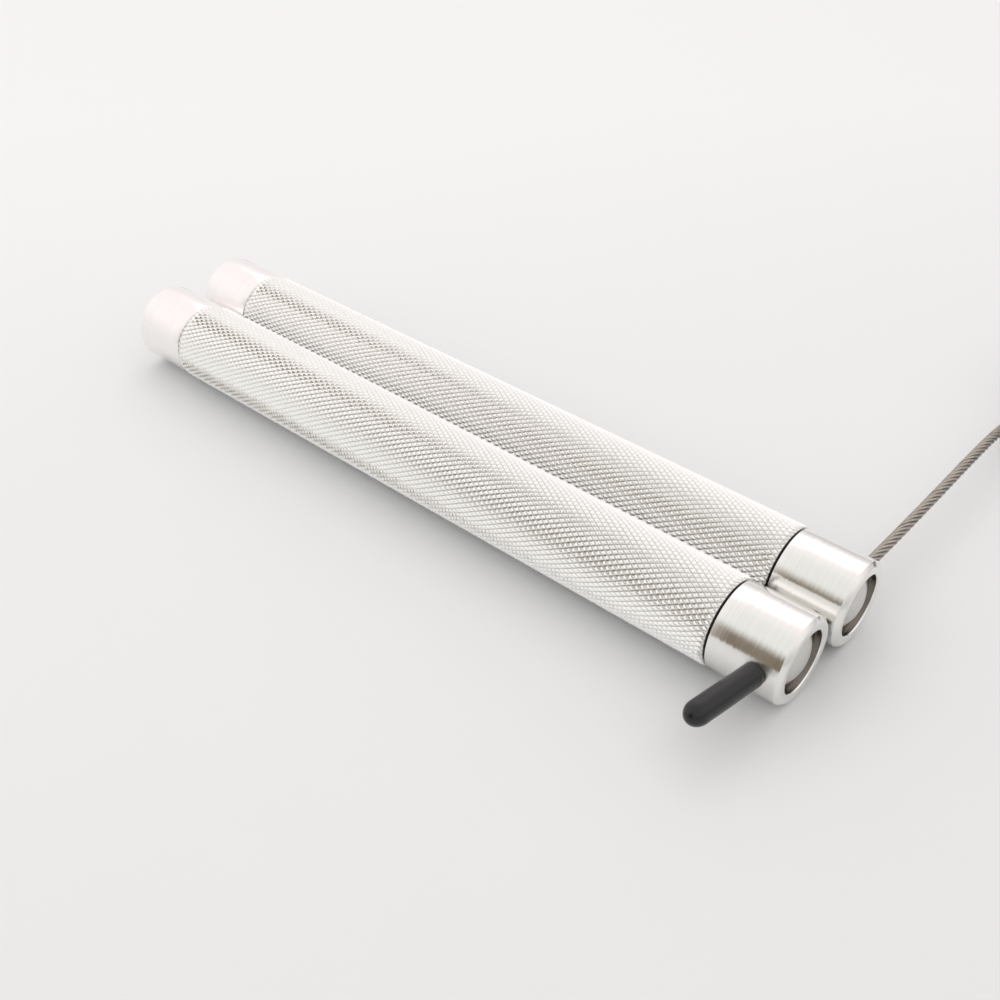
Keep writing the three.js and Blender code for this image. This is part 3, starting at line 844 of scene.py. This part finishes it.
# %% Knurl
KNURL_COLUMNS = 96  # 48 diamonds round the tube, and the 48 grooves between them
KNURL_ROW = 0.8835
GROOVE_RADIUS = 7.84
CREST_RADIUS = 8.19
CREST_SHARE = 0.24  # how far the flat reaches towards the groove crossings
EDGE_CREST_RADIUS = 7.98
FRONT_RIM_RADIUS = 7.58
REAR_RIM_RADIUS = 7.7
GRIP_FRONT = -13.65
GRIP_REAR = -146.6
GRIP_EDGE = 0.22
BORE_RINGS = [
    (GRIP_REAR, 5.5),
    (-41.98, 5.5),
    (-41.98, 4.9),
    (-19.62, 4.9),
    (-19.62, 5.5),
    (GRIP_FRONT, 5.5),
]

def on_tube(x, column, radius):
    angle = 2 * math.pi * column / KNURL_COLUMNS
    return (x * MM, radius * MM * math.cos(angle), radius * MM * math.sin(angle))

def knurled_tube():
    knurled_length = GRIP_FRONT - GRIP_REAR - 2 * GRIP_EDGE
    rows = round(knurled_length / KNURL_ROW)
    row_step = knurled_length / rows
    corners, faces, node = [], [], {}

    def add(x, column, radius):
        corners.append(on_tube(x, column, radius))
        return len(corners) - 1

    for i in range(rows + 1):
        x = GRIP_FRONT - GRIP_EDGE - i * row_step
        for j in range(KNURL_COLUMNS):
            crest = (i + j) % 2 == 0
            if crest and 0 < i < rows:
                continue
            radius = EDGE_CREST_RADIUS if crest else GROOVE_RADIUS + random.uniform(-0.012, 0.012)
            node[i, j] = add(x, j, radius)
    for i in range(rows + 1):
        x = GRIP_FRONT - GRIP_EDGE - i * row_step
        for j in range(i % 2, KNURL_COLUMNS, 2):
            left = node.get((i, (j - 1) % KNURL_COLUMNS))
            right = node.get((i, (j + 1) % KNURL_COLUMNS))
            front = node.get((i - 1, j))
            rear = node.get((i + 1, j))
            if i == 0:
                faces += [(node[i, j], left, rear), (node[i, j], rear, right)]
                continue
            if i == rows:
                faces += [(node[i, j], front, left), (node[i, j], right, front)]
                continue
            flat = CREST_SHARE + random.uniform(-0.05, 0.05)
            height = CREST_RADIUS + random.uniform(-0.02, 0.01)
            top = [
                add(x, j - flat, height),
                add(x - flat * row_step, j, height),
                add(x, j + flat, height),
                add(x + flat * row_step, j, height),
            ]
            ring = [left, rear, right, front]
            faces.append(tuple(top))
            for k in range(4):
                n = (k + 1) % 4
                faces.append((ring[k], ring[n], top[n], top[k]))
    first = [node[0, j] for j in range(KNURL_COLUMNS)]
    last = [node[rows, j] for j in range(KNURL_COLUMNS)]
    loops = [last, [add(GRIP_REAR, j, REAR_RIM_RADIUS) for j in range(KNURL_COLUMNS)]]
    for x, radius in BORE_RINGS:
        loops.append([add(x, j, radius) for j in range(KNURL_COLUMNS)])
    loops += [[add(GRIP_FRONT, j, FRONT_RIM_RADIUS) for j in range(KNURL_COLUMNS)], first]
    for a, b in zip(loops, loops[1:]):
        for j in range(KNURL_COLUMNS):
            k = (j + 1) % KNURL_COLUMNS
            faces.append((a[j], a[k], b[k], b[j]))
    return corners, faces

random.seed(11)
for side in PLACES:
    corners, faces = knurled_tube()
    grip = make_piece(f"{side}_grip", corners, faces, grip_metal, PLACES[side], crease=8)
    face_outwards(grip)
    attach(grip, f"{side}_grip")
    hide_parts(f"{side}_grip_tube")
print("faces in a grip:", len(faces))

# %% [markdown]
# ## Rear caps
#
# The rear cap is a smooth plug that is pushed into the tube and held by a rubber ring in a groove. Outside
# it is polished, with a broad rounding at the end and a shallow dish turned into its face.

# %% Rear caps
CAP_FRONT = -146.62
CAP_PROFILE = [
    (-138.62, 0.0, 0),
    (-138.62, 5.44, 0.4),
    (-141.62, 5.44, 0.08),
    (-141.62, 4.6, 0.08),
    (-142.62, 4.6, 0.08),
    (-142.62, 5.44, 0.08),
    (CAP_FRONT, 5.44, 0.05),
    (CAP_FRONT, 8.0, 0.10),
    (-150.0, 8.0, 0),
    (-154.0, 8.0, 0),
    (-160.0, 8.0, 1.6),
    (-160.0, 6.4, 0.06),
    (-159.82, 6.25, 0.06),
    (-159.82, 0.0, 0),
]
for side in PLACES:
    cap = turned_piece(f"{side}_cap", CAP_PROFILE, cap_metal, PLACES[side], sides=160)
    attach(cap, f"{side}_grip")
    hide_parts(f"{side}_rear_cap")
print("rear caps:", len(PLACES))

# %% [markdown]
# ## Vinyl end caps
#
# A cut cable end is sharp, so each end wears a dipped vinyl cap: a soft sleeve with a round nose, a rolled
# lip at the mouth and a faint belly. It is turned about X and then laid along the cable's last direction.

# %% Vinyl caps
VINYL_LENGTH = 15.0
NOSE = 2.15
NOSE_LENGTH = 1.18  # of the nose's radius
PRESSED_LENGTH = 3.0 * MM  # how much of the mouth gives when it is pressed to a wall
PRESSED_GAP = 0.03 * MM

def vinyl_profile():
    nose = []
    for i in range(13):
        angle = math.pi / 2 * (1 - i / 12)
        x = VINYL_LENGTH - NOSE * NOSE_LENGTH + NOSE * NOSE_LENGTH * math.cos(angle)
        nose.append((x, NOSE * 0.99 * math.sin(angle), 0))
    nose[-1] = (VINYL_LENGTH, 0.0, 0)
    wall = [(11.4, 0.0, 0), (11.4, 1.02, 0.2), (1.0, 1.02, 0.3), (0.0, 1.45, 0.15)]
    skin = [(0.0, 1.95, 0.22), (0.55, 2.10, 0.2), (2.5, 2.08, 0.5), (7.0, 2.14, 1.5)]
    return wall + skin + nose

def reach_to_head(point, axis, place):
    """How far back along axis a point can go before it meets the head's round wall."""
    y, z = point.y - place.y, point.z - place.z
    a = axis.y**2 + axis.z**2
    b = -(y * axis.y + z * axis.z)
    c = y**2 + z**2 - (HANDLE_RADIUS + PRESSED_GAP) ** 2
    return (-b - math.sqrt(b * b - a * c)) / a

def vinyl_cap(name, mouth, axis, stands_for, against=None):
    """A cap with its mouth at a point. Against a head, the soft mouth is pressed to the round wall."""
    corners, faces = turned(vinyl_profile(), 64)
    turn = Vector((1, 0, 0)).rotation_difference(axis).to_matrix()
    placed = []
    for corner in corners:
        point = mouth + turn @ Vector(corner)
        soft = max(0.0, 1 - corner[0] / PRESSED_LENGTH)
        if against is not None and soft > 0:
            base = point - axis * corner[0]
            point -= axis * reach_to_head(base, axis, against) * soft
        placed.append(point)
    cap = make_piece(name, placed, faces, vinyl, crease=40)
    face_outwards(cap)
    smooth(cap.data, 40)
    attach(cap, "heads_and_cable")
    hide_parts(stands_for)
    return cap

vinyl_cap("near_tail_vinyl", TAIL_MOUTH, TAIL_AXIS, "near_tail_cap", against=PLACES["near"])
end_low, end_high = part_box("coil_end_cap")
end_mouth = Vector((end_low.x, (end_low.y + end_high.y) / 2, (end_low.z + end_high.z) / 2))
end_cap = vinyl_cap("coil_end_vinyl", end_mouth, Vector((1, 0, 0)), "coil_end_cap")
print("end cap's mouth, mm:", [round(v / MM, 1) for v in end_mouth])

# %% [markdown]
# ## Coil ties
#
# Two lengths of woven tape go round the bundle of turns, each a band with round corners. The band's map
# counts threads both ways.

# %% Ties
TAPE_WIDTH = 4.0 * MM
TAPE_THICKNESS = 0.6 * MM
THREAD = 0.35 * MM

def band_line(half_width, half_height, corner=1.6 * MM):
    """Points round a box with round corners, starting at the middle of the outer side."""
    line = [Vector((half_width, 0.0))]
    for sx, sy, start in ((1, 1, 0), (-1, 1, 90), (-1, -1, 180), (1, -1, 270)):
        centre = Vector((sx * (half_width - corner), sy * (half_height - corner)))
        for i in range(7):
            angle = math.radians(start + 15 * i)
            line.append(centre + Vector((math.cos(angle), math.sin(angle))) * corner)
    line.append(Vector((half_width, 0.0)))
    return line

def tape_band(name, line, middle, tilt, z, stands_for):
    corners, faces, travel = [], [], [0.0]
    flat = [Vector((p.x, p.y)) for p in line]
    for a, b in zip(flat, flat[1:]):
        travel.append(travel[-1] + (b - a).length)
    out = Vector((math.cos(tilt), math.sin(tilt), 0))
    along = Vector((-math.sin(tilt), math.cos(tilt), 0))
    for k, p in enumerate(flat):
        ahead = (flat[min(k + 1, len(flat) - 1)] - flat[max(k - 1, 0)]).normalized()
        normal = Vector((ahead.y, -ahead.x))
        for depth, edge in ((0, -1), (0, 1), (TAPE_THICKNESS, 1), (TAPE_THICKNESS, -1)):
            q = p - normal * depth
            corners.append(middle + out * q.x + Vector((0, 0, q.y + z)) + along * edge * TAPE_WIDTH / 2)
    for k in range(len(flat) - 1):
        for j in range(4):
            n = (j + 1) % 4
            faces.append((4 * k + j, 4 * k + n, 4 * k + 4 + n, 4 * k + 4 + j))
    end = 4 * (len(flat) - 1)
    faces += [(3, 2, 1, 0), (end, end + 1, end + 2, end + 3)]
    band = make_piece(name, corners, faces, tape, crease=50)
    face_outwards(band)
    weave = band.data.uv_layers.new(name="weave")
    for loop in band.data.loops:
        row, corner = divmod(loop.vertex_index, 4)
        across = TAPE_WIDTH if corner in (1, 2) else 0.0
        weave.data[loop.index].uv = (travel[row] / THREAD, across / THREAD)
    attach(band, "heads_and_cable")
    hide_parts(stands_for)
    return band

def coil_tie(node):
    low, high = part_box(node)
    middle = (low + high) / 2
    coil = Vector((COIL_MIDDLE.x, COIL_MIDDLE.y, 0))
    tilt = math.atan2(middle.y - coil.y, middle.x - coil.x)
    out = Vector((math.cos(tilt), math.sin(tilt), 0))
    half_height = (high.z - low.z) / 2
    half_width = COLUMNS * CABLE_RADIUS + 1.0 * MM
    centre = coil + out * COIL_MEAN
    line = band_line(half_width, half_height)
    return tape_band(f"{node}_tape", line, centre, tilt, middle.z, node)

ties = [coil_tie("coil_tie_left"), coil_tie("coil_tie_right")]
print("ties:", [tie.name for tie in ties])

# %% [markdown]

# %% [markdown]
# ## Button springs
#
# A short compression spring stands between the floor of each head's chamber and the button. A wire swept
# along a helix is enough for it.

# %% Button springs
SPRING_WIRE = 0.35 * MM  # half the wire's thickness
SPRING_RADIUS = 4.2 * MM
SPRING_TURNS = 2.6
SPRING_REAR = -8.97 * MM
SPRING_FRONT = -6.63 * MM

def button_spring(side, steps=96, ring=10):
    corners, faces = [], []
    for i in range(steps + 1):
        angle = 2 * math.pi * SPRING_TURNS * i / steps
        along = SPRING_REAR + (SPRING_FRONT - SPRING_REAR) * i / steps
        for j in range(ring):
            turn = 2 * math.pi * j / ring
            reach = SPRING_RADIUS + SPRING_WIRE * math.cos(turn)
            x = along + SPRING_WIRE * math.sin(turn)
            corners.append((x, reach * math.cos(angle), reach * math.sin(angle)))
    for i in range(steps):
        for j in range(ring):
            k = (j + 1) % ring
            faces.append((i * ring + j, (i + 1) * ring + j, (i + 1) * ring + k, i * ring + k))
    faces.append(tuple(reversed(range(ring))))
    faces.append(tuple(range(steps * ring, (steps + 1) * ring)))
    spring = make_piece(f"{side}_spring", corners, faces, spring_steel, PLACES[side])
    face_outwards(spring)
    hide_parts(f"{side}_button_spring")
    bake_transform(spring)
    return spring

springs = [button_spring(side) for side in PLACES]
print("faces in a spring:", len(springs[0].data.polygons))

# %% [markdown]
# ## Finishes for the parts inside
#
# The frame's own bearings, bolts and rings stay as they are. They only need a finish: rubber for the ring
# that holds a rear cap, and ground steel for everything else.

# %% Inner parts
inner = [(name, part) for name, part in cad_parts.items() if not part.hide_render]
for name, part in inner:
    is_ring = name.endswith("_rear_cap_ring")
    part.data.materials.clear()
    part.data.materials.append(rubber if is_ring else bearing_steel)
print("inner parts:", len(inner))

# %% [markdown]
# ## The table
#
# The object lies on a pale, matt surface that runs far past the edges of the picture. It is a hair below
# zero, so that the crests of the knurl don't cut into it. Its colour is painted slowly lighter towards the
# far left, as painted light.

# %% Floor
floor_finish = Finish("pale_floor", Roughness=0.55)
floor_grain = floor_finish.noise(floor_finish.local(), 60.0, detail=5.0)
floor_x, floor_y, _ = floor_finish.node("SeparateXYZ", Vector=floor_finish.local()).outputs
floor_along = floor_finish.maths("SUBTRACT", floor_y, floor_x)
# Painted light: the floor's colour grows lighter towards the far left, with a little random grain.
floor_grain_and_light = floor_finish.maths("ADD", floor_finish.spread(floor_grain, -0.02, 0.02), floor_along)
floor_light_share = floor_finish.ramp(floor_grain_and_light, -0.20, 0.26)
floor_finish.colour(floor_finish.tint(floor_light_share, (0.635, 0.642, 0.645), (0.725, 0.728, 0.73)))
floor_finish.bump(floor_finish.noise(floor_finish.local(), 2500.0), 0.01 * MM)
FLOOR_REACH = 3
FLOOR_DROP = (0, 0, -0.2 * MM)
floor_corners = [(FLOOR_REACH * x, FLOOR_REACH * y, 0) for x, y in ((-1, -1), (1, -1), (1, 1), (-1, 1))]
floor = make_piece("floor", floor_corners, [(0, 1, 2, 3)], floor_finish.material, FLOOR_DROP)
print("floor, m across:", 2 * FLOOR_REACH)

# %% [markdown]
# ## Light
#
# Bright metal is a mirror of the room, so the room matters more than the lamps. It is painted by
# direction: a pale sky, brightest behind the handles and on the left, a greyer wall near the horizon, and
# one dark, warm patch low on the near side, where a person would stand. The window lamp adds a little
# shine. The fill and the ceiling don't show in reflections: they light the table and soften the shadows.

# %% Room
world = bpy.data.worlds.new("room")
world.use_nodes = True
scene.world = world
room = Nodes(world.node_tree)

def fade(value, start, end, low=0.0, high=1.0):
    return room.ramp(value, start, end, low, high, kind="SMOOTHSTEP")

direction = room.node("TexCoord").outputs["Generated"]
room_x, room_y, room_z = room.node("SeparateXYZ", Vector=direction).outputs
left = fade(room_x, -0.30, -0.65)
near_sky = room.tint(left, (0.89, 0.895, 0.865), (1.08, 1.03, 1.02))
sky = room.tint(fade(room_y, -0.35, 0.45), near_sky, (1.06, 1.005, 1.0))
low_wall = room.product(fade(room_z, 0.50, 0.0), fade(room_x, -0.66, -0.30, 0.18, 0.62))
wall = room.tint(low_wall, sky, (0.36, 0.36, 0.345))
near_side = fade(room_y, -0.30, -0.62)
low_down = fade(room_z, 0.74, 0.38)
person = room.product(near_side, low_down, fade(room_x, -0.66, -0.34), fade(room_x, 0.25, 0.0))
background = world.node_tree.nodes["Background"]
room.put(background.inputs["Color"], room.tint(person, wall, (0.19, 0.15, 0.10)))
background.inputs["Strength"].default_value = 1.0
print("nodes in the room:", len(world.node_tree.nodes))

# %% Soft lamps
def soft_lamp(name, place, size, power, colour=(1.0, 1.0, 1.0), in_reflections=False):
    """A rectangular lamp that looks at the origin."""
    lamp = bpy.data.objects.new(name, bpy.data.lights.new(name, "AREA"))
    lamp.data.shape = "RECTANGLE"
    lamp.data.size, lamp.data.size_y = size
    lamp.data.energy = power
    lamp.data.color = colour
    lamp.location = place
    lamp.rotation_mode = "QUATERNION"
    lamp.rotation_quaternion = (-Vector(place)).to_track_quat("-Z", "Y")
    lamp.visible_glossy = in_reflections
    scene.collection.objects.link(lamp)
    print(name, "watts:", power)

soft_lamp("window", (-0.5, 0.85, 1.0), (1.2, 1.0), 0.9, (1.0, 0.98, 0.975), in_reflections=True)
soft_lamp("fill", (-0.5, -1.0, 0.7), (1.4, 1.0), 4.5)
soft_lamp("ceiling", (0.0, 0.1, 1.6), (2.4, 2.4), 8.0)

# %% Plain colours
scene.view_settings.view_transform = "Standard"
scene.view_settings.look = "None"
print("view transform:", scene.view_settings.view_transform)
